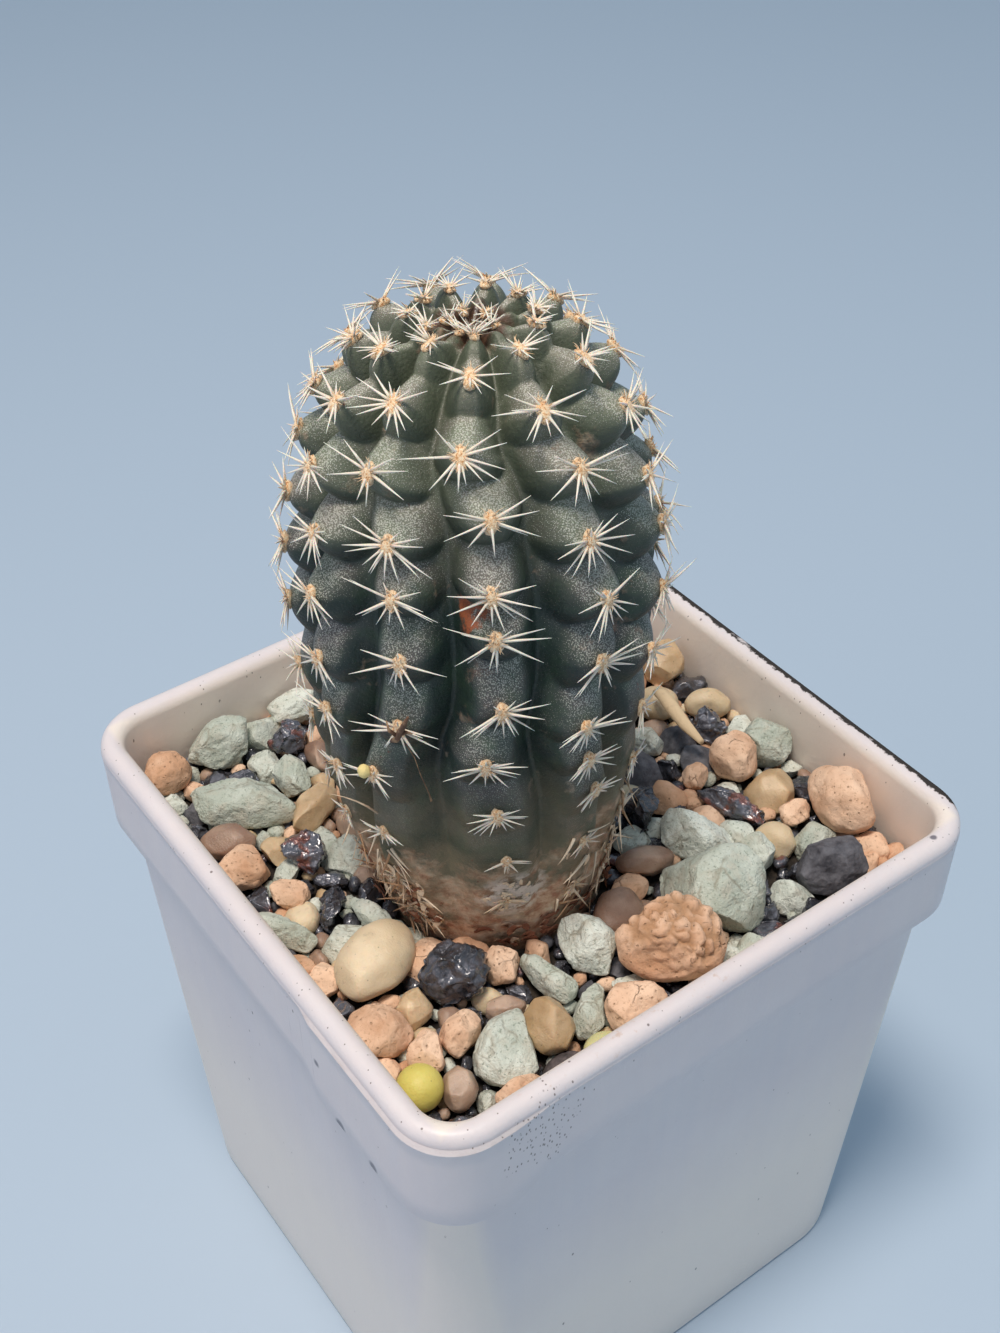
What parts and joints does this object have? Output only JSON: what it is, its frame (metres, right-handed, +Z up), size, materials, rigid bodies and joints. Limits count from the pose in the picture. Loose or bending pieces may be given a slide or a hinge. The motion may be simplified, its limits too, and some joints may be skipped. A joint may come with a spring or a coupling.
{
  "type": "potted round cactus",
  "caption": "Short columnar ribbed cactus with spined tubercles, in a square tapered plastic pot with a banded rim, top-dressed with mixed coloured stones.",
  "frame": {"origin": "middle of the pot's standing face", "axes": "+Z up along the stem, the pot's flat sides face +X, -X, +Y and -Y, and the corner towards -X -Y is the front one"},
  "size_m": [0.07, 0.07, 0.1321],
  "materials": {
    "pot": "satin",
    "soil": "matte",
    "cactus": "satin",
    "cream_pebble": "satin",
    "amber_pebble": "satin",
    "yellow_pebble": "satin",
    "olive_pebble": "satin",
    "brown_pebble": "satin",
    "zeolite": "matte",
    "lava": "matte",
    "slag": "gloss",
    "charcoal": "matte",
    "bark_chip": "matte"
  },
  "bodies": {
    "root": {"pot": "pot", "soil": "soil", "cactus": "cactus", "cream_pebble_1": "cream_pebble", "cream_pebble_2": "cream_pebble", "cream_pebble_3": "cream_pebble", "amber_pebble_1": "amber_pebble", "amber_pebble_2": "amber_pebble", "amber_pebble_3": "amber_pebble", "amber_pebble_4": "amber_pebble", "yellow_pebble_1": "yellow_pebble", "olive_pebble_1": "olive_pebble", "brown_pebble_1": "brown_pebble", "brown_pebble_2": "brown_pebble", "brown_pebble_3": "brown_pebble", "brown_pebble_4": "brown_pebble", "brown_pebble_5": "brown_pebble", "zeolite_1": "zeolite", "zeolite_2": "zeolite", "zeolite_3": "zeolite", "zeolite_4": "zeolite", "zeolite_5": "zeolite", "zeolite_6": "zeolite", "zeolite_7": "zeolite", "zeolite_8": "zeolite", "zeolite_9": "zeolite", "zeolite_10": "zeolite", "zeolite_11": "zeolite", "zeolite_12": "zeolite", "zeolite_13": "zeolite", "zeolite_14": "zeolite", "zeolite_15": "zeolite", "zeolite_16": "zeolite", "zeolite_17": "zeolite", "lava_1": "lava", "lava_2": "lava", "lava_3": "lava", "lava_4": "lava", "lava_5": "lava", "lava_6": "lava", "lava_7": "lava", "lava_8": "lava", "lava_9": "lava", "lava_10": "lava", "lava_11": "lava", "lava_12": "lava", "lava_13": "lava", "lava_14": "lava", "lava_15": "lava", "lava_16": "lava", "slag_1": "slag", "slag_2": "slag", "slag_3": "slag", "slag_4": "slag", "slag_5": "slag", "slag_6": "slag", "slag_7": "slag", "charcoal_1": "charcoal", "charcoal_2": "charcoal", "bark_chip_1": "bark_chip"}
  },
  "joints": []
}
